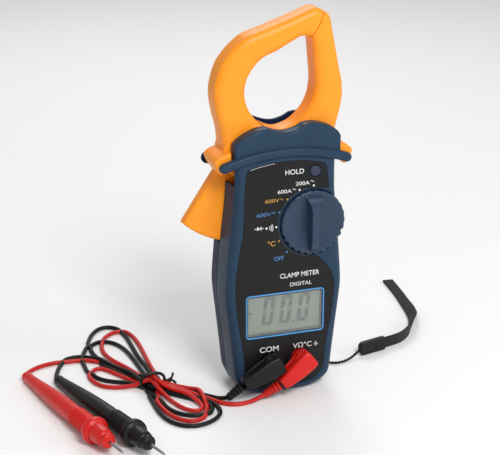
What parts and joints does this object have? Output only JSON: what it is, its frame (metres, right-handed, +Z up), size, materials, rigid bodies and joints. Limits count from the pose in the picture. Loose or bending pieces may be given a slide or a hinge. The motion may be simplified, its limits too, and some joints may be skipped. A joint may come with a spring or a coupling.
{
  "type": "clamp meter",
  "caption": "Handheld clamp meter with opening jaw and trigger, rotary selector, display, plugged-in test leads with probes and a wrist strap.",
  "frame": {"origin": "middle of the flat foot that the case stands on", "axes": "+X to the right of the display, +Y from the display to the back, +Z up along the meter to the jaw"},
  "size_m": [0.2701, 0.2016, 0.2201],
  "materials": {
    "case_front": "satin slate blue moulded plastic",
    "case_rear": "satin navy moulded plastic",
    "jaw_orange": "satin bright orange moulded plastic",
    "label_black": "fine textured black overlay with white, blue and orange print",
    "frame_blue": "light blue printed frame",
    "window": "clear moulded window",
    "display": "grey-green display glass with dark segments",
    "knob_blue": "satin blue moulded plastic",
    "black_plastic": "satin black moulded plastic",
    "black_rubber": "soft black insulation",
    "red_plastic": "satin red moulded plastic",
    "red_rubber": "soft red insulation",
    "webbing": "woven black nylon webbing",
    "steel": "plated steel",
    "brass": "plated brass",
    "ferrite": "laminated magnetic core",
    "copper": "enamelled copper winding",
    "board": "green circuit board",
    "white_plastic": "white moulded plastic",
    "cell": "plain wrapped cell"
  },
  "bodies": {
    "root": {"battery_door": "case_rear", "battery_door_screw": "steel", "battery_tray": "black_plastic", "black_lead_hank": "black_rubber", "black_lead_plug_side": "black_rubber", "black_lead_probe_side": "black_rubber", "black_plug_body": "black_plastic", "black_plug_pin": "brass", "black_probe_body": "black_plastic", "black_probe_needle": "steel", "black_strain_relief": "black_plastic", "buzzer": "black_plastic", "case_screw_1": "steel", "case_screw_2": "steel", "case_screw_3": "steel", "case_screw_4": "steel", "case_screw_5": "steel", "cell_1": "cell", "cell_2": "cell", "cell_contact_lower": "brass", "cell_contact_upper": "brass", "circuit_board": "board", "com_socket": "brass", "detent_ball": "steel", "detent_spring": "steel", "display_contact_strip_lower": "black_rubber", "display_contact_strip_upper": "black_rubber", "display_frame": "frame_blue", "display_panel": "display", "display_window": "window", "fixed_core": "ferrite", "fixed_jaw": "jaw_orange", "front_case": "case_front", "front_label": "label_black", "hold_switch": "black_plastic", "jaw_pivot_pin": "steel", "jaw_screw_1": "steel", "jaw_screw_2": "steel", "pickup_coil": "copper", "rear_case": "case_rear", "red_lead_hank": "red_rubber", "red_lead_plug_side": "red_rubber", "red_lead_probe_side": "red_rubber", "red_plug_body": "red_plastic", "red_plug_pin": "brass", "red_probe_body": "red_plastic", "red_probe_needle": "steel", "red_strain_relief": "red_plastic", "strap_band": "webbing", "strap_cord": "black_plastic", "strap_slider": "black_plastic", "trigger_return_spring": "steel", "twist_tie": "black_plastic", "volt_socket": "brass"},
    "moving_jaw": {"moving_jaw": "jaw_orange", "moving_core": "ferrite"},
    "knob": {"selector_knob": "knob_blue", "contact_rotor": "white_plastic", "contact_wiper": "brass"},
    "hold_button": {"hold_button": "knob_blue"}
  },
  "joints": [
    {"name": "jaw_trigger", "type": "hinge", "parent": "root", "child": "moving_jaw", "pos_m": [-0.018, 0, 0.143], "axis": [0, -1, 0], "range_deg": [0, 25], "stiffness_Nm_per_rad": 0.35, "springref_deg": -20.05},
    {"name": "selector", "type": "hinge", "parent": "root", "child": "knob", "pos_m": [0.0153, 0, 0.1025], "axis": [0, -1, 0], "range_deg": [0, 135]},
    {"name": "hold_press", "type": "slide", "parent": "root", "child": "hold_button", "axis": [0, 1, 0], "range_m": [0, 0.001], "stiffness_N_per_m": 400, "springref_m": -0.0005}
  ]
}
